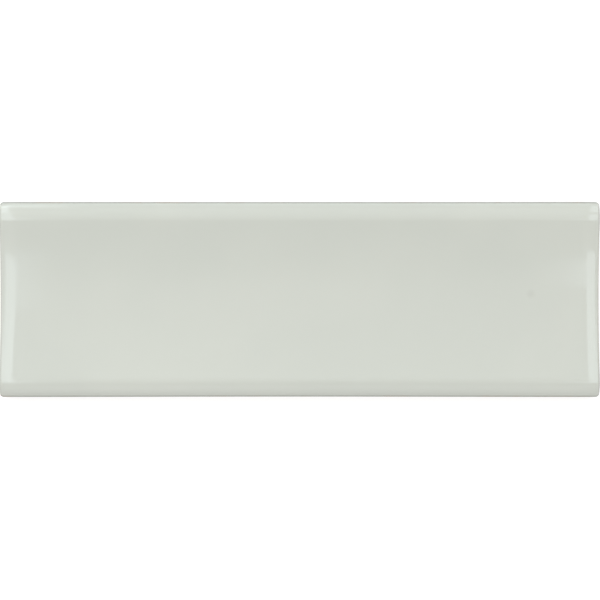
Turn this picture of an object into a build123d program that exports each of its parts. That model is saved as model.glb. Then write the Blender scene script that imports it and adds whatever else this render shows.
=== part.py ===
from build123d import *

import os
from math import asin, atan2, degrees

# A concave glazed wall tile, pressed from clay and fired as one piece.
# Two rounded rims run along its long edges, with a shallow trough between them.
# The short ends roll off gently, and the back is keyed for adhesive.
#
# Frame: +X along the tile, +Y across it, +Z out of the face. The origin is the middle
# of the back, which lies on the floor at Z = 0. Sizes are in millimetres and degrees.

# Outline, seen from the front
TILE_LENGTH = 200.0
TILE_WIDTH = 65.0
CORNER_RADIUS = 1.2

# Face
CREST_THICKNESS = 11.0   # back to the crest of each rim
CREST_INSET = 5.35       # long edge to the crest beside it
SHOULDER_DROP = 3.2      # crest down to the long edge
TROUGH_DEPTH = 3.2       # crest down to the bottom of the trough
END_ROLL_LENGTH = 6.3    # end of the tile to where its roll begins
END_ROLL_DROP = 0.8      # how much lower the crest is at the end
ARRIS_RADIUS = 0.95      # rounding where the face meets the sides

# Back: a waffle of shallow square keys with sloping sides
BACK_BEVEL = 0.6
KEY_SIZE = 7.0           # across the mouth of a key
KEY_LAND = 2.0           # flat rib between two keys
KEY_DEPTH = 0.7
KEY_DRAFT = 30.0         # lean of a key's sides
KEY_BORDER = 5.0         # least plain margin around the waffle

# The punch that presses the face reaches past the tile, so that it trims it cleanly
PUNCH_BODY = 5.0         # solid part of the punch, above the crests
PUNCH_OVERRUN = 3.0      # how far its shoulders turn on past the long edges

CREST_Y = TILE_WIDTH / 2 - CREST_INSET
LEVEL_X = TILE_LENGTH / 2 - END_ROLL_LENGTH
KEY_PITCH = KEY_SIZE + KEY_LAND


def arc_from_level(run, drop):
    """Radius and turn of an arc that starts level and falls by drop over run."""
    radius = (run**2 + drop**2) / (2 * drop)
    turn = 2 * degrees(atan2(drop, run))
    return radius, turn


def punch_section():
    """Section across the punch, whose lower line is the tile's face.

    A round shoulder rises from each long edge over the crest, and runs smoothly
    into the one large arc of the trough.
    """
    shoulder_radius, shoulder_turn = arc_from_level(CREST_INSET, SHOULDER_DROP)
    shoulder_z = CREST_THICKNESS - shoulder_radius
    centre_gap = (CREST_Y**2 + TROUGH_DEPTH**2) / (2 * TROUGH_DEPTH)
    trough_radius = centre_gap - shoulder_radius
    trough_z = CREST_THICKNESS - TROUGH_DEPTH + trough_radius
    slope = degrees(asin(CREST_Y / centre_gap))
    turn = shoulder_turn + PUNCH_OVERRUN

    right = CenterArc((CREST_Y, shoulder_z), shoulder_radius, 90 - turn, turn + slope)
    trough = CenterArc((0, trough_z), trough_radius, slope - 90, -2 * slope)
    left = CenterArc((-CREST_Y, shoulder_z), shoulder_radius, 90 - slope, slope + turn)
    first = right @ 0
    last = left @ 1
    top = CREST_THICKNESS + PUNCH_BODY
    back = Polyline(last, (last.X, top), (first.X, top), first)
    return make_face([*right.edges(), *trough.edges(), *left.edges(), *back.edges()])


def punch():
    """The section drawn along the tile, then turned down over each end."""
    section = Plane.YZ * punch_section()
    middle = extrude(Pos(-LEVEL_X, 0, 0) * section, 2 * LEVEL_X, dir=(1, 0, 0))
    roll_radius, _ = arc_from_level(END_ROLL_LENGTH, END_ROLL_DROP)
    roll_axis = Axis((LEVEL_X, 0, CREST_THICKNESS - roll_radius), (0, 1, 0))
    right_end = revolve(Pos(LEVEL_X, 0, 0) * section, roll_axis, 90)
    left_end = mirror(right_end, Plane.YZ)
    return middle + right_end + left_end


def blank():
    """Block of clay with the tile's outline, bevelled round the back."""
    outline = RectangleRounded(TILE_LENGTH, TILE_WIDTH, CORNER_RADIUS)
    block = extrude(outline, CREST_THICKNESS)
    back_edges = block.faces().sort_by(Axis.Z)[0].edges()
    return chamfer(back_edges, BACK_BEVEL)


def is_side(face):
    """True for the upright faces round the tile."""
    return abs(face.normal_at().Z) < 0.01


def rim_edges(body):
    """Edges where the face meets the upright sides."""
    side_edges = body.faces().filter_by(is_side).edges()
    half_height = CREST_THICKNESS / 2
    return [edge for edge in side_edges if edge.bounding_box().min.Z > half_height]


def keys():
    """Pocket shapes of the waffle; an even count each way leaves a rib on both centre lines."""
    def count(extent):
        return 2 * int((extent - 2 * KEY_BORDER + KEY_LAND) / KEY_PITCH / 2)

    key = extrude(Rectangle(KEY_SIZE, KEY_SIZE), KEY_DEPTH, taper=KEY_DRAFT)
    grid = GridLocations(KEY_PITCH, KEY_PITCH, count(TILE_LENGTH), count(TILE_WIDTH))
    return [place * key for place in grid]


def wall_tile():
    body = blank() - punch()
    body = fillet(rim_edges(body), ARRIS_RADIUS)
    return body - keys()


os.makedirs("parts", exist_ok=True)
tile = wall_tile().solid()
tile.label = "wall_tile"
export_step(tile, "parts/wall_tile.step")
box = tile.bounding_box()
print("wall_tile", tile.is_valid, len(tile.faces()), "faces", round(tile.volume / 1000, 1), "cm3")
print("box", box.min, box.max)
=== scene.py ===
# %% [markdown]
# A concave wall tile
#
# The real thing is one narrow ceramic tile. Its clay was pressed in a steel mould, so the face
# is a shallow trough between two round rims, and the back is a waffle that holds the adhesive.
# A pale glaze was sprayed over the face and melted into a smooth, glassy skin in the kiln.
# The solid comes from a CAD model. This notebook gives it what the solid leaves out:
# the skin of glaze, the bare clay below it, a floor, soft lamps and a camera.

# %% Load the solid tile
import math

import bmesh
import bpy
import numpy as np
from mathutils.bvhtree import BVHTree
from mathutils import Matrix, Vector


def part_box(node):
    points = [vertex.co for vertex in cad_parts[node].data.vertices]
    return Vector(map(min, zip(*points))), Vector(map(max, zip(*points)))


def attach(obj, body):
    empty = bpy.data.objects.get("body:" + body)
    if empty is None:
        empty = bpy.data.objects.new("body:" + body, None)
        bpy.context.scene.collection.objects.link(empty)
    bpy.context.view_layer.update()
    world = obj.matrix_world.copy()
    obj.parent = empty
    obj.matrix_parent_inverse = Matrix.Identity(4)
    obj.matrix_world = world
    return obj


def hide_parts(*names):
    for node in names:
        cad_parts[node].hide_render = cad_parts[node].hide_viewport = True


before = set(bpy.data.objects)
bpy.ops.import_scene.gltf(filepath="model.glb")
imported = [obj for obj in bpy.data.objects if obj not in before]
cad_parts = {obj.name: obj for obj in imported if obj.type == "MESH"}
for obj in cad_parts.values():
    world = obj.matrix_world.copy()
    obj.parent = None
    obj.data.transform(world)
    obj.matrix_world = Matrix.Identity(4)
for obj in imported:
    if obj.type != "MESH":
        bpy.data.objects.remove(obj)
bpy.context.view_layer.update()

MM = 0.001
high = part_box("wall_tile")[1]
HALF_LENGTH = high.x
HALF_WIDTH = high.y
CREST_HEIGHT = high.z
print(f"tile {2 * HALF_LENGTH / MM:.1f} by {2 * HALF_WIDTH / MM:.1f} by {CREST_HEIGHT / MM:.1f} mm")

# %% [markdown]
# The face
#
# On a cut across the tile, the face is three arcs that run smoothly into each other: a small
# one over each rim and one large hollow arc between them. Near each end the whole cut turns
# down a little, as if a wheel with that edge had rolled over it.
# Such a face could be a lofted curve or a few subdivided control points. A glossy surface shows
# every small error of its slope in its reflections, so here the height is worked out exactly,
# from the same radii as the solid.

# %% Height of the pressed face
CREST_INSET = 5.35 * MM      # long edge to the crest beside it
SHOULDER_DROP = 3.2 * MM     # crest down to the long edge
TROUGH_DEPTH = 3.2 * MM      # crest down to the bottom of the trough
END_ROLL_LENGTH = 6.3 * MM   # end of the tile to where its roll begins
END_ROLL_DROP = 0.8 * MM     # how much lower the crest is at the end


def arc_radius(run, drop):
    """Radius of an arc that starts level and falls by drop over run."""
    return (run**2 + drop**2) / (2 * drop)


def section_height(y):
    """Height of the face on a cut across the middle of the tile."""
    crest_y = HALF_WIDTH - CREST_INSET
    shoulder = arc_radius(CREST_INSET, SHOULDER_DROP)
    centre_gap = arc_radius(crest_y, TROUGH_DEPTH)
    trough = centre_gap - shoulder
    join_y = crest_y * trough / centre_gap
    y = np.abs(y)
    rim = CREST_HEIGHT - shoulder + np.sqrt(np.maximum(shoulder**2 - (y - crest_y)**2, 0))
    hollow = CREST_HEIGHT - TROUGH_DEPTH + trough - np.sqrt(np.maximum(trough**2 - y**2, 0))
    return np.where(y > join_y, rim, hollow)


def face_height(x, y):
    """Height of the face, with the section turned down over both ends."""
    roll = arc_radius(END_ROLL_LENGTH, END_ROLL_DROP)
    axle = CREST_HEIGHT - roll
    past_level = np.maximum(np.abs(x) - (HALF_LENGTH - END_ROLL_LENGTH), 0)
    return axle + np.sqrt((section_height(y) - axle)**2 - past_level**2)


middle, edge, end = face_height(np.array([0, 0, HALF_LENGTH]), np.array([0, HALF_WIDTH, 0]))
print(f"face height: middle {middle / MM:.2f}, long edge {edge / MM:.2f}, end {end / MM:.2f} mm")

# %% [markdown]
# The arris
#
# An arris is the line where the face meets a side. On a glazed tile it is never sharp, because
# the glaze draws itself round. Blender's Bevel modifier would round it, but it needs
# an even, open mesh beside the edge, and this mesh is at its finest there.
# So a ball of the arris radius is rolled round the outline in numbers: it touches the upright
# side and comes down until it touches the face, and the skin follows the ball between the two.

# %% Height of the face with its round arris
ARRIS_RADIUS = 0.95 * MM
CORNER_RADIUS = 1.2 * MM     # of the outline, seen from the front
BALL_SAMPLES = 201


def from_outline(x, y):
    """Distance in from the outline, and the direction straight in from it."""
    over_x = np.abs(x) - (HALF_LENGTH - CORNER_RADIUS)
    over_y = np.abs(y) - (HALF_WIDTH - CORNER_RADIUS)
    reach = np.hypot(np.maximum(over_x, 0), np.maximum(over_y, 0))
    in_corner = (over_x > 0) & (over_y > 0)
    distance = CORNER_RADIUS - np.where(in_corner, reach, np.maximum(over_x, over_y))
    radius = np.where(in_corner, reach, 1)
    in_x = np.where(in_corner, over_x / radius, over_x > over_y) * -np.sign(x)
    in_y = np.where(in_corner, over_y / radius, over_x <= over_y) * -np.sign(y)
    return distance, in_x, in_y


def skin_height(x, y):
    """Height of the face, rounded down to the upright sides at the outline."""
    height = face_height(x, y)
    distance, in_x, in_y = from_outline(x, y)
    near = distance < ARRIS_RADIUS
    distance, in_x, in_y = distance[near, None], in_x[near, None], in_y[near, None]
    steps = np.linspace(0, 2 * ARRIS_RADIUS, BALL_SAMPLES)
    along = steps - distance
    face = face_height(x[near, None] + in_x * along, y[near, None] + in_y * along)
    clearance = face - np.sqrt(ARRIS_RADIUS**2 - (steps - ARRIS_RADIUS)**2)
    touch = clearance.argmin(axis=1)
    ball_centre = clearance.min(axis=1)
    from_centre = ARRIS_RADIUS - np.maximum(distance[:, 0], 0)
    on_ball = ball_centre + np.sqrt(ARRIS_RADIUS**2 - from_centre**2)
    height[near] = np.where(distance[:, 0] < steps[touch], on_ball, height[near])
    return height


side_top = skin_height(np.array([0, HALF_LENGTH]), np.array([HALF_WIDTH, 0]))
print(f"sides begin at {side_top[0] / MM:.2f} mm on the long edges, {side_top[1] / MM:.2f} mm on the ends")

# %% [markdown]
# The grid of the skin
#
# A sheet of quads follows the face best when its lines lie close where the face bends and wide
# where it is nearly flat. A plain grid with even lines would waste most of its points in the
# trough and still show corners on the arris.
# The lines are therefore spaced by equal turns over the arris, finely over the rims and
# end rolls, and wide in the trough. In the four corners the square grid is bent into a
# quarter circle, so that the outline has its small round corners.

# %% Lay out the grid lines
ARRIS_TURNS = 12
CORNER_LINES = 3
FINE_STEP = 0.3 * MM
FINE_PAST_CREST = 2 * MM     # the fine lines go on this far past a crest
FINE_PAST_ROLL = 1 * MM      # and this far past the start of an end roll
ACROSS_STEP = 0.9 * MM
ALONG_STEP = 1.4 * MM


def grid_lines(half, fine_to, wide_step):
    """Places of the lines from one edge to the other, finest at both edges."""
    turns = np.linspace(0, math.pi / 2, ARRIS_TURNS + 1)
    arris = ARRIS_RADIUS * (1 - np.cos(turns))
    corner = np.linspace(ARRIS_RADIUS, CORNER_RADIUS, CORNER_LINES + 1)[1:]
    fine = np.linspace(CORNER_RADIUS, fine_to, round((fine_to - CORNER_RADIUS) / FINE_STEP) + 1)[1:]
    wide = np.linspace(fine_to, half, round((half - fine_to) / wide_step) + 1)[1:]
    inward = np.concatenate([arris, corner, fine, wide])
    return np.concatenate([inward - half, (half - inward[:-1])[::-1]])


def round_corners(x, y):
    """Bends the squares at the four corners of the grid into quarter circles."""
    over_x = np.abs(x) - (HALF_LENGTH - CORNER_RADIUS)
    over_y = np.abs(y) - (HALF_WIDTH - CORNER_RADIUS)
    in_corner = (over_x > 0) & (over_y > 0)
    reach = np.where(in_corner, np.hypot(over_x, over_y), 1)
    pull = np.maximum(over_x, over_y) / reach
    round_x = np.sign(x) * (HALF_LENGTH - CORNER_RADIUS + over_x * pull)
    round_y = np.sign(y) * (HALF_WIDTH - CORNER_RADIUS + over_y * pull)
    return np.where(in_corner, round_x, x), np.where(in_corner, round_y, y)


along_lines = grid_lines(HALF_LENGTH, END_ROLL_LENGTH + FINE_PAST_ROLL, ALONG_STEP)
across_lines = grid_lines(HALF_WIDTH, CREST_INSET + FINE_PAST_CREST, ACROSS_STEP)
plan_x, plan_y = round_corners(*np.meshgrid(along_lines, across_lines, indexing="ij"))
plan_z = skin_height(plan_x, plan_y)
print(f"skin grid {len(along_lines)} by {len(across_lines)} lines")

# %% [markdown]
# The pull of the kiln
#
# Clay shrinks by a few percent as it dries and is fired, and never quite evenly. The picture fits
# best with a tile a hair shorter than the solid, and with its long edges drawn in at mid-length,
# the front one more than the back one. All of that is under half a pixel, and a lens could do it
# too, so the kiln is a guess. A lattice could bend the mesh, but a short formula is plainer.

# %% Draw the edges in
END_PULL = 0.16 * MM         # at each end
FRONT_BOW = 0.14 * MM        # at mid-length, on the -Y edge
BACK_BOW = 0.03 * MM         # the same on the +Y edge


def drawn_in(x, y):
    """Where the firing moves a point of the plan."""
    share = (y / HALF_WIDTH + 1) / 2
    bow = (1 - share) * FRONT_BOW - share * BACK_BOW
    return x * (1 - END_PULL / HALF_LENGTH), y + bow * (1 - (x / HALF_LENGTH)**2)**2


grid_x, grid_y = drawn_in(plan_x, plan_y)
print(f"edges drawn in by {np.hypot(grid_x - plan_x, grid_y - plan_y).max() / MM:.3f} mm at most")

# %% [markdown]
# The melt's slow waves
#
# Glaze is laid on as a wet coat and flows only while it is hot, so it is never as true
# as the mould. It keeps slow waves about a hundredth of a millimetre high. The eye can't see
# them as shape, but they make the edge of every reflection waver.
# A noise in the material's bump could do this too. In the mesh it also shows in the exported
# model, and it takes only a sum of a few dozen gentle waves with a fixed random seed.

# %% Add the waves of the glaze
WAVE_COUNT = 40
WAVE_SHORTEST = 9 * MM
WAVE_LONGEST = 45 * MM
WAVE_HEIGHT = 0.006 * MM     # of the whole sum, on average
WAVE_SEED = 4
waves = np.random.default_rng(WAVE_SEED)


def glaze_waves(x, y):
    """Sum of gentle waves in every direction, the longer ones higher."""
    lengths = np.exp(waves.uniform(np.log(WAVE_SHORTEST), np.log(WAVE_LONGEST), WAVE_COUNT))
    turns = waves.uniform(0, 2 * math.pi, WAVE_COUNT)
    starts = waves.uniform(0, 2 * math.pi, WAVE_COUNT)
    total = np.zeros_like(x)
    for length, turn, start in zip(lengths, turns, starts):
        way = x * math.cos(turn) + y * math.sin(turn)
        total += length * np.sin(2 * math.pi * way / length + start)
    return total * WAVE_HEIGHT / total.std()


ripple = glaze_waves(plan_x, plan_y)
inward, in_x, in_y = from_outline(plan_x, plan_y)
grid_z = plan_z + (ripple - ripple.max()) * np.clip(inward / ARRIS_RADIUS, 0, 1)
print(f"waves from {ripple.min() / MM:.4f} to {ripple.max() / MM:.4f} mm")

# %% [markdown]
# The sides
#
# The spray reaches a little way down the sides and stops in an uneven, slightly swollen lip.
# Below the lip the tile is bare fired clay, called biscuit, down to the small bevel at the back.
# The lip could be painted on a flat side, but a low camera would miss its thickness.
# Here the sides are rings of points that hang from the edge of the skin. Each ring
# is a depth below the edge and an inset from the outline, so the lip is part of the mesh.

# %% Hang the sides from the skin
BACK_BEVEL = 0.6 * MM
GLAZE_THICKNESS = 0.12 * MM
LAP = 2.1 * MM               # how far the glaze reaches down a side, on average
LAP_SWING = 0.55 * MM
LAP_WAVES = ((3, 0.5), (7, 0.9), (16, 0.7), (37, 0.35), (71, 0.2))  # count round the tile, weight


def outline_order(count_x, count_y):
    """Grid places round the edge of the sheet, once, against the clock."""
    bottom = [(i, 0) for i in range(count_x - 1)]
    right = [(count_x - 1, j) for j in range(count_y - 1)]
    top = [(i, count_y - 1) for i in range(count_x - 1, 0, -1)]
    left = [(0, j) for j in range(count_y - 1, 0, -1)]
    return bottom + right + top + left


ring_places = outline_order(len(along_lines), len(across_lines))
ring_i, ring_j = np.array(ring_places).T
edge_x, edge_y, edge_z = grid_x[ring_i, ring_j], grid_y[ring_i, ring_j], grid_z[ring_i, ring_j]
way_round = np.cumsum(np.hypot(np.diff(edge_x, prepend=edge_x[-1]), np.diff(edge_y, prepend=edge_y[-1])))
turn_round = 2 * math.pi * way_round / way_round[-1]
swing = sum(weight * np.sin(count * turn_round + count**2) for count, weight in LAP_WAVES)
lip_z = edge_z - LAP - LAP_SWING * swing / np.abs(swing).max()
print(f"glaze ends {lip_z.min() / MM:.2f} to {lip_z.max() / MM:.2f} mm above the back")

# %% Shape the rings of a side
GLAZE_ROWS = (0.35, 0.7, 1)  # shares of the way down to the lip
LIP_RUN = 0.5 * MM           # height over which the glaze thins out
LIP_TURNS = 5
CLAY_ROWS = 4


def side_rings():
    """(height, inset, glaze cover) of each ring, from the skin's edge to the back."""
    rings = []
    for share in GLAZE_ROWS:
        rings.append((edge_z + (lip_z + LIP_RUN - edge_z) * share, 0.0, 1.0))
    for turn in np.linspace(0, math.pi / 2, LIP_TURNS + 1)[1:]:
        rings.append((lip_z + LIP_RUN * (1 - math.sin(turn)), GLAZE_THICKNESS * (1 - math.cos(turn)), 1.0))
    for share in np.linspace(0, 1, CLAY_ROWS + 1):
        clay_top = lip_z - GLAZE_THICKNESS
        rings.append((clay_top + (BACK_BEVEL - clay_top) * share, GLAZE_THICKNESS, 0.0))
    rings.append((np.zeros_like(edge_z), BACK_BEVEL, 0.0))
    return rings


rings = side_rings()
print(f"{len(rings)} rings of {len(edge_z)} points")

# %% [markdown]
# One closed mesh
#
# Skin and sides share their points, so light can't leak between them and the exported model is
# one watertight piece. Each face goes in as the numbers of its corner points, counted from the
# list of all points: first the grid of the skin, then ring after ring.

# %% Join skin and sides


def skin_faces(count_x, count_y):
    """Corner numbers of the quads between the lines of the grid."""
    number = np.arange(count_x * count_y).reshape(count_x, count_y)
    corners = (number[:-1, :-1], number[1:, :-1], number[1:, 1:], number[:-1, 1:])
    return np.stack(corners, -1).reshape(-1, 4)


def band_faces(upper, lower):
    """Corner numbers of the quads between two rings."""
    return np.stack([upper, lower, np.roll(lower, -1), np.roll(upper, -1)], -1)


side_x, side_y = in_x[ring_i, ring_j], in_y[ring_i, ring_j]
points = [np.stack([grid_x, grid_y, grid_z], -1).reshape(-1, 3)]
cover = [np.ones(grid_x.size)]
faces = [skin_faces(*grid_x.shape)]
upper = np.arange(grid_x.size).reshape(grid_x.shape)[ring_i, ring_j]
for height, inset, covered in rings:
    lower = np.arange(len(edge_z)) + sum(map(len, points))
    points.append(np.stack([edge_x + side_x * inset, edge_y + side_y * inset, height], -1))
    cover.append(np.full(len(edge_z), covered))
    faces.append(band_faces(upper, lower))
    upper = lower
points = np.concatenate(points)
faces = np.concatenate(faces)
print(f"{len(points)} points, {len(faces)} quads")

# %% [markdown]
# The back
#
# The back is pressed into rows of shallow square pockets with sloping sides, so that
# adhesive gets a grip. Cutting 120 pockets with booleans would leave a ragged mesh.
# Instead a flat grid has one square for each pocket, and Blender's Inset shrinks each square
# and pushes it in, which makes the four sloping sides at once. The margin between
# the waffle and the outline is flat, so a simple fill with triangles does there.

# %% Draw and sink the waffle
KEY_SIZE = 7.0 * MM
KEY_LAND = 2.0 * MM
KEY_DEPTH = 0.7 * MM
KEY_DRAFT = math.radians(30)
KEYS_ALONG = 20
KEYS_ACROSS = 6


def key_lines(count):
    """Both edges of each pocket in a row of them about the middle."""
    middles = (np.arange(count) - (count - 1) / 2) * (KEY_SIZE + KEY_LAND)
    return np.stack([middles - KEY_SIZE / 2, middles + KEY_SIZE / 2], -1).ravel()


def press_keys(bm):
    """Adds the waffle's grid, sinks its pockets and counts them."""
    grid = [[bm.verts.new((x, y, 0)) for y in key_lines(KEYS_ACROSS)] for x in key_lines(KEYS_ALONG)]
    pockets = []
    for i in range(len(grid) - 1):
        for j in range(len(grid[0]) - 1):
            square = bm.faces.new((grid[i][j], grid[i][j + 1], grid[i + 1][j + 1], grid[i + 1][j]))
            if i % 2 == 0 and j % 2 == 0:
                pockets.append(square)
    bm.normal_update()
    slope = KEY_DEPTH * math.tan(KEY_DRAFT)
    bmesh.ops.inset_individual(bm, faces=pockets, thickness=slope, depth=-KEY_DEPTH)
    return len(pockets)


print(f"waffle of {KEYS_ALONG} by {KEYS_ACROSS} pockets, each {KEY_DEPTH / MM:.1f} mm deep")

# %% Close the mesh at the back
mesh = bpy.data.meshes.new("glazed_tile")
mesh.from_pydata(points.tolist(), [], faces.tolist())
bm = bmesh.new()
bm.from_mesh(mesh)
key_count = press_keys(bm)
margin = [e for e in bm.edges if e.is_boundary]
bmesh.ops.triangle_fill(bm, use_beauty=True, use_dissolve=False, edges=margin)
bmesh.ops.recalc_face_normals(bm, faces=bm.faces)
open_edges = sum(not e.is_manifold for e in bm.edges)
bm.to_mesh(mesh)
bm.free()
print(f"{key_count} pockets, {len(mesh.polygons)} faces, {open_edges} open edges")

# %% [markdown]
# Into the frame
#
# On the tile the skin is smooth, but the lip, the bevel and the pockets have real creases.
# Smooth shading alone would smear them, and a modifier that splits edges is one more thing
# to carry along. So the edges that turn by more than an angle are marked as sharp.
# The tile then hangs on the body it rides on, and the solid it stands in for is hidden.
# The last cell measures how true the mesh is.

# %% Make the tile and hand it to the frame
SHARP_ANGLE = math.radians(35)
tile = bpy.data.objects.new("glazed_tile", mesh)
bpy.context.scene.collection.objects.link(tile)
mesh.shade_smooth()
mesh.set_sharp_from_angle(angle=SHARP_ANGLE)
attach(tile, "root")
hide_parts("wall_tile")
tile_triangles = sum(len(p.vertices) - 2 for p in mesh.polygons)
print(f"{tile.name}: {tile_triangles} triangles")

# %% Compare the skin with the solid
PROBES = 1000
solid = bmesh.new()
solid.from_mesh(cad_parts["wall_tile"].data)
tree = BVHTree.FromBMesh(solid)
probes = np.linspace(0, len(points) - 1, PROBES).astype(int)
gaps = [tree.find_nearest(points[k])[3] for k in probes]
solid.free()
print(f"skin lies within {max(gaps) / MM:.3f} mm of the solid")

# %% [markdown]
# Painted shade along the arris
#
# Melted glaze draws back from a sharp turn, so along both long edges it is only a film. A narrow
# dark line is painted there as shade, darker than that film over the clay would be. The line is a
# little narrower at the back edge, and the two ends have hardly any of it. A paint mask for that
# could be drawn by hand. Here each point of the mesh gets two numbers instead, which the material
# can read by name: how much glaze covers it, and how dark the painted shade along the arris is.

# %% Note cover and arris on the points
ARRIS_FADE = 1.05 * MM       # how far in from the outline the shade is painted
ARRIS_FADE_BACK = 0.95 * MM  # the same along the back edge, on the +Y side
ARRIS_FULL = 1.6             # above 1, the painted shade is at its darkest before it reaches the outline
ARRIS_FALL = 3               # how steeply the painted shade fades inwards
ARRIS_AT_ENDS = 0.15         # how much of that is left at the two ends


def point_numbers(name, values):
    """Stores one number for each point of the tile, and nought for points made later."""
    layer = mesh.attributes.new(name, "FLOAT", "POINT")
    padded = np.zeros(len(mesh.vertices), np.float32)
    padded[:len(values)] = values
    layer.data.foreach_set("value", padded)


cover = np.concatenate(cover)
# Painted shade along the arris: darkest at the outline, fading inwards, faint at the two ends.
arris = np.zeros(len(points))
fade = np.where(in_y < 0, ARRIS_FADE_BACK, ARRIS_FADE)
arris_shade_weight = ARRIS_AT_ENDS + (1 - ARRIS_AT_ENDS) * np.abs(in_y)
edge_shade_weight = arris_shade_weight[ring_i, ring_j]
arris_shade_mask = np.minimum(ARRIS_FULL * np.clip(1 - inward / fade, 0, 1)**ARRIS_FALL, 1)
arris[:grid_x.size] = (arris_shade_mask * arris_shade_weight).ravel()
for row, (height, _, _) in enumerate(rings):
    first = grid_x.size + row * len(edge_z)
    below = (edge_z - height) / ARRIS_FADE
    arris[first:first + len(edge_z)] = np.clip(1 - below, 0, 1) * edge_shade_weight
point_numbers("glaze_cover", cover)
point_numbers("arris", arris)
print(f"glaze on {cover.mean():.0%} of the points, arris on {(arris > 0).mean():.0%}")

# %% [markdown]
# The finish
#
# Two finishes meet on this one piece: glassy pale grey-green glaze, and dull, sandy clay the
# colour of straw. Two material slots would give a hard stair-stepped border between them.
# One material with a mask keeps the border soft and true to the lip. The glaze drifts slightly
# in colour, as a sprayed coat does, and has one faint smudge right of the middle. Colours are
# written as linear light, the way the shader counts it, and stay about what the render shows.

# %% Small helpers for shader nodes


class Nodes:
    """Adds nodes to a material and links them in one line each."""

    def __init__(self, tree):
        self.tree = tree
        tree.nodes.clear()

    def add(self, kind, settings=None, **inputs):
        """A new node; inputs are values, or sockets of other nodes to link."""
        node = self.tree.nodes.new(kind)
        for name, value in (settings or {}).items():
            setattr(node, name, value)
        for name, value in inputs.items():
            self.put(node, name.replace("_", " "), value)
        return node

    def put(self, node, name, value):
        """Sets or links one input, found by its name or its number."""
        socket = node.inputs[int(name[5:])] if name.startswith("slot ") else node.inputs[name]
        if isinstance(value, bpy.types.NodeSocket):
            self.tree.links.new(value, socket)
        else:
            socket.default_value = value

    def noise(self, where, size, detail=2.0):
        """A soft noise with blots of about that size, in metres."""
        return self.add("ShaderNodeTexNoise", Vector=where, Scale=1 / size, Detail=detail).outputs[0]

    def ramp(self, value, low, high, to_low=0.0, to_high=1.0):
        """Moves a value from one range to another, smoothly and clamped."""
        settings = {"interpolation_type": "SMOOTHSTEP"}
        node = self.add("ShaderNodeMapRange", settings, Value=value, From_Min=low, From_Max=high,
                        To_Min=to_low, To_Max=to_high)
        return node.outputs["Result"]

    def mix(self, share, first, second):
        """Mixes two colours."""
        node = self.add("ShaderNodeMix", {"data_type": "RGBA"}, slot_0=share, slot_6=first, slot_7=second)
        return node.outputs[2]

    def maths(self, way, first, second):
        """Sum, product and the like of two numbers."""
        return self.add("ShaderNodeMath", {"operation": way}, slot_0=first, slot_1=second).outputs[0]


print("node helpers ready")

# %% Colour of the glaze
GLAZE = (0.632, 0.652, 0.592, 1)
GLAZE_CLOUD = (0.618, 0.640, 0.582, 1)       # faint drifts in the colour
DRIFT_SIZE = 40 * MM
DRIFT_EDGE = (0.35, 0.65)                    # noise where a drift begins and is full
GLAZE_SMUDGE = (0.53, 0.54, 0.485, 1)        # a faint mark right of the middle
SMUDGE_PLACE = (77.1 * MM, 1.9 * MM, 7.8 * MM)
SMUDGE_EDGE = (0.3 * MM, 2.0 * MM)           # inner and outer rim of the mark
SMUDGE_SHARE = 0.3
ARRIS_SHADE = (0.25, 0.26, 0.225, 1)          # painted shade along the arris, over the thin glaze there
ARRIS_SHADE_WARM = (0.29, 0.25, 0.19, 1)            # warmer spots in that painted shade
SPOT_SIZE = 7 * MM
SPOT_EDGE = (0.5, 0.7)
SHADE_LINE_EDGE = (0.3, 0.7)
SHADE_LINE_LEAST = 0.88                            # share of the line left where it is faintest


def glaze_colour(n, place, on_arris):
    """Pale glaze with its drifts, its smudge and the painted shade line along the arris."""
    drift = n.ramp(n.noise(place, DRIFT_SIZE), *DRIFT_EDGE)
    glaze = n.mix(drift, GLAZE, GLAZE_CLOUD)
    away = n.add("ShaderNodeVectorMath", {"operation": "DISTANCE"}, slot_0=place, slot_1=SMUDGE_PLACE)
    smudge = n.ramp(away.outputs["Value"], *SMUDGE_EDGE, SMUDGE_SHARE, 0.0)
    glaze = n.mix(smudge, glaze, GLAZE_SMUDGE)
    spots = n.noise(place, SPOT_SIZE, detail=3)
    # The dark line along the arris is painted shade, with warmer spots in it.
    arris_shade_colour = n.mix(n.ramp(spots, *SPOT_EDGE), ARRIS_SHADE, ARRIS_SHADE_WARM)
    arris_shade_share = n.maths("MULTIPLY", on_arris, n.ramp(spots, *SHADE_LINE_EDGE, SHADE_LINE_LEAST, 1.0))
    return n.mix(arris_shade_share, glaze, arris_shade_colour)


print(f"drifts of about {DRIFT_SIZE / MM:.0f} mm, smudge {SMUDGE_EDGE[1] / MM:.0f} mm in radius")

# %% Mix the glaze and the clay
CLAY = (0.66, 0.56, 0.43, 1)
CLAY_DARK = (0.52, 0.42, 0.31, 1)
GRIT_SIZE = 0.5 * MM
GRIT_EDGE = (0.35, 0.7)                      # noise where a grain begins and is darkest
CLAY_ROUGHNESS = (0.8, 0.95)
PIT_DEPTH = 0.05 * MM
PIT_STRENGTH = 0.6
GLAZE_ROUGHNESS = (0.06, 0.10)
BREATH_SIZE = 25 * MM                        # of the patches that are a little less glossy
BREATH_EDGE = (0.3, 0.7)
GLAZE_IOR = 1.5                              # how strongly glass bends and mirrors light


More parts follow.
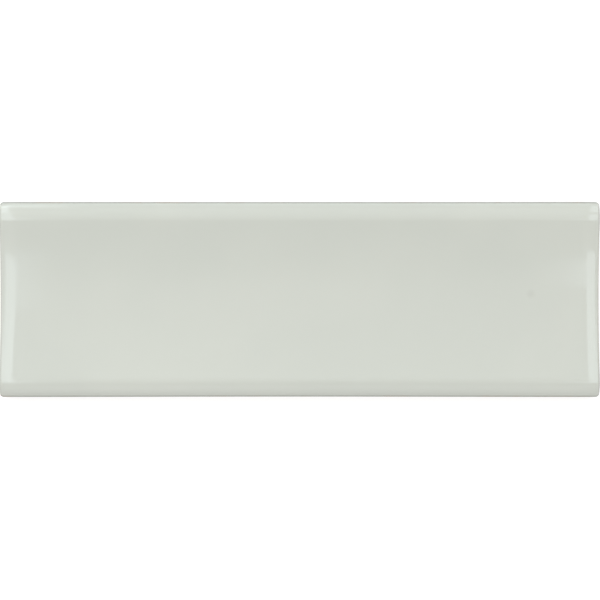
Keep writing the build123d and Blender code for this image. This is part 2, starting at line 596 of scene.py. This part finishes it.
def tile_finish():
    """Glossy glaze above the lip, bare clay below it and on the back."""
    material = bpy.data.materials.new("glaze_on_clay")
    material.use_nodes = True
    n = Nodes(material.node_tree)
    place = n.add("ShaderNodeTexCoord").outputs["Object"]
    covered = n.add("ShaderNodeAttribute", {"attribute_name": "glaze_cover"}).outputs["Fac"]
    on_arris = n.add("ShaderNodeAttribute", {"attribute_name": "arris"}).outputs["Fac"]
    glaze = glaze_colour(n, place, on_arris)
    grit = n.ramp(n.noise(place, GRIT_SIZE, detail=4), *GRIT_EDGE)
    clay = n.mix(grit, CLAY, CLAY_DARK)

    breath = n.ramp(n.noise(place, BREATH_SIZE), *BREATH_EDGE, *GLAZE_ROUGHNESS)
    dull = n.ramp(grit, 0.0, 1.0, *CLAY_ROUGHNESS)
    rough = n.add("ShaderNodeMix", slot_0=covered, slot_2=dull, slot_3=breath).outputs[0]
    pits = n.maths("MULTIPLY", grit, n.maths("SUBTRACT", 1.0, covered))
    relief = n.add("ShaderNodeBump", Height=pits, Distance=PIT_DEPTH, Strength=PIT_STRENGTH)

    shader = n.add("ShaderNodeBsdfPrincipled", Base_Color=n.mix(covered, clay, glaze), Roughness=rough,
                   Normal=relief.outputs["Normal"], IOR=GLAZE_IOR)
    n.add("ShaderNodeOutputMaterial", Surface=shader.outputs["BSDF"])
    return material


mesh.materials.append(tile_finish())
print(f"finish with {len(mesh.materials[0].node_tree.nodes)} nodes")

# %% [markdown]
# The floor
#
# The tile lies flat on a plain white table. A brighter lamp would make the table white, but it
# would bleach the tile as well. So the floor gives off some light of its own, only to the
# camera and to mirror-like reflections, and its paint takes the tile's soft shadow.

# %% Lay the white floor
FLOOR_HALF = 6.0
FLOOR_PAINT = (0.4, 0.4, 0.4, 1)
FLOOR_GLOW = 0.72


def white_floor():
    """A large flat sheet under the tile, white to the camera."""
    sheet = bpy.data.meshes.new("floor")
    corners = [(x * FLOOR_HALF, y * FLOOR_HALF, 0) for x, y in ((-1, -1), (1, -1), (1, 1), (-1, 1))]
    sheet.from_pydata(corners, [], [(0, 1, 2, 3)])
    material = bpy.data.materials.new("white_table")
    material.use_nodes = True
    n = Nodes(material.node_tree)
    ray = n.add("ShaderNodeLightPath").outputs
    seen = n.maths("MAXIMUM", ray["Is Camera Ray"], ray["Is Glossy Ray"])
    seen = n.maths("MAXIMUM", seen, ray["Is Transmission Ray"])
    glow = n.add("ShaderNodeEmission", Strength=n.maths("MULTIPLY", seen, FLOOR_GLOW))
    paint = n.add("ShaderNodeBsdfDiffuse", Color=FLOOR_PAINT)
    both = n.add("ShaderNodeAddShader", slot_0=paint.outputs[0], slot_1=glow.outputs[0])
    n.add("ShaderNodeOutputMaterial", Surface=both.outputs[0])
    sheet.materials.append(material)
    return bpy.data.objects.new("floor", sheet)


floor = white_floor()
bpy.context.scene.collection.objects.link(floor)
print(f"floor {2 * FLOOR_HALF:.0f} m wide")

# %% [markdown]
# The lamps
#
# A glossy tile is a mirror as much as a colour, so what hangs round it matters as much as how
# bright it is. Two large softboxes hang left and right of the camera, each with a small weak one
# on its inner side. Two more stand behind the table and tip down towards the tile, with a small
# low one beside the left one, and a wide, weak panel in front softens the shadows.
# Where the real lamps stood isn't known. These were placed partly by a search for what gives the
# tile's highlights, and other arrangements would do as well.
# Each softbox is an area lamp. Its power could be set by eye, but then its mirror image would
# fade whenever the lamp grew. So the power follows from how bright its white front is, where 1
# is paper white.

# %% Hang the softboxes
LAMP_TINT = (0.88, 1.0, 1.05)


def softbox(name, centre, size, tilt, turn, brightness):
    """An area lamp that shines down, tilted about X and then turned about Z, in degrees."""
    lamp = bpy.data.lights.new(name, "AREA")
    lamp.shape = "RECTANGLE"
    lamp.size, lamp.size_y = size
    lamp.energy = brightness * math.pi * size[0] * size[1]
    lamp.color = LAMP_TINT
    box = bpy.data.objects.new(name, lamp)
    box.location = centre
    box.rotation_euler = (math.radians(tilt), 0, math.radians(turn))
    box.visible_camera = False
    bpy.context.scene.collection.objects.link(box)
    print(f"{name}: {lamp.energy:.1f} W")


softbox("overhead_left", (-0.555, 0.135, 1.0), (0.395, 0.77), 0, 11, 2.3)
softbox("overhead_right", (0.72, 0.13, 1.25), (0.41, 0.945), 0, -2, 2.22)
softbox("inner_left", (-0.265, -0.105, 1.0), (0.12, 0.31), 0, 0, 0.95)
softbox("inner_right", (0.315, -0.14, 1.0), (0.22, 0.14), 0, 0, 1.1)
softbox("back_left", (-0.68, 0.91, 0.5), (0.48, 1.065), -57, 0, 2.8)
softbox("back_right", (0.665, 0.955, 0.435), (0.46, 0.915), -57, 0, 2.05)
softbox("low_left", (-0.4, 1.18, 0.2), (0.4, 0.36), -90, 0, 1.8)
softbox("front_fill", (0.125, -1.3, 1.05), (2.0, 1.86), 90, 0, 0.58)

# %% [markdown]
# The room
#
# The rest of the studio is a calm grey, slightly brighter towards the back wall. It fills the
# shadows and gives the glaze something to mirror between the lamps. Little light falls on one
# round patch of the ceiling, a bit in front of straight up, so that patch is darker.
# A picture of a real room could be used, but plain grey keeps the tile's own shape readable.

# %% Fill the room with grey light
ROOM = (1.08, 1.0, 0.965, 1)
ROOM_LEVEL = 0.604           # of the light from straight up
ROOM_SLOPE = (0.0, 0.03, 0.0)  # how much brighter it is towards +X, +Y and +Z
PATCH_LEAN = math.radians(18)  # from straight up to the middle of the patch
PATCH_WAY = (0.0, -math.sin(PATCH_LEAN), math.cos(PATCH_LEAN))
PATCH_EDGE = (math.cos(math.radians(15)), math.cos(math.radians(5)))  # outer and inner rim of the patch
PATCH_SHARE = 0.42           # of the room's light that is left in the patch

world = bpy.data.worlds.new("studio")
bpy.context.scene.world = world
world.use_nodes = True
n = Nodes(world.node_tree)
way = n.add("ShaderNodeTexCoord").outputs["Generated"]
slope = n.add("ShaderNodeVectorMath", {"operation": "DOT_PRODUCT"}, slot_0=way, slot_1=ROOM_SLOPE)
level = n.maths("ADD", slope.outputs["Value"], ROOM_LEVEL)
beside = n.add("ShaderNodeVectorMath", {"operation": "DOT_PRODUCT"}, slot_0=way, slot_1=PATCH_WAY)
shade = n.ramp(beside.outputs["Value"], *PATCH_EDGE, 1.0, PATCH_SHARE)
back = n.add("ShaderNodeBackground", Color=ROOM, Strength=n.maths("MULTIPLY", level, shade))
n.add("ShaderNodeOutputWorld", Surface=back.outputs[0])
print(f"room light {ROOM_LEVEL}, {PATCH_SHARE:.0%} of it in the dark patch")

# %% [markdown]
# The camera
#
# The tile is seen straight from above, and it fills the width of the picture. A long lens from
# arm's length keeps the outline almost straight. The ends still bow in a little, because
# the trough lies lower than the rims. A camera without perspective would lose that.

# %% Place the camera
CAMERA_RISE = 0.75           # above the crests
SENSOR_WIDTH = 36.0
PICTURE_CROP = 0.14 * MM     # the two ends together run this far past the picture
PICTURE_WIDTH = 2 * (HALF_LENGTH - END_PULL) - PICTURE_CROP
PICTURE_HEIGHT = 9.4 * MM    # above the floor, where the picture is that wide: the ends at a crest
CAMERA_SHIFT = (0.13 * MM, -0.16 * MM)  # the tile lies a hair off the middle of the picture


def place_camera():
    """A long lens that looks straight down on the tile."""
    data = bpy.data.cameras.new("camera")
    data.sensor_fit = "HORIZONTAL"
    data.sensor_width = SENSOR_WIDTH
    height = CREST_HEIGHT + CAMERA_RISE
    data.lens = SENSOR_WIDTH * (height - PICTURE_HEIGHT) / PICTURE_WIDTH
    camera = bpy.data.objects.new("camera", data)
    camera.location = (*CAMERA_SHIFT, height)
    bpy.context.scene.collection.objects.link(camera)
    bpy.context.scene.camera = camera
    print(f"lens {data.lens:.1f} mm, {height:.3f} m above the floor")


place_camera()
bpy.context.scene.view_settings.view_transform = "Standard"
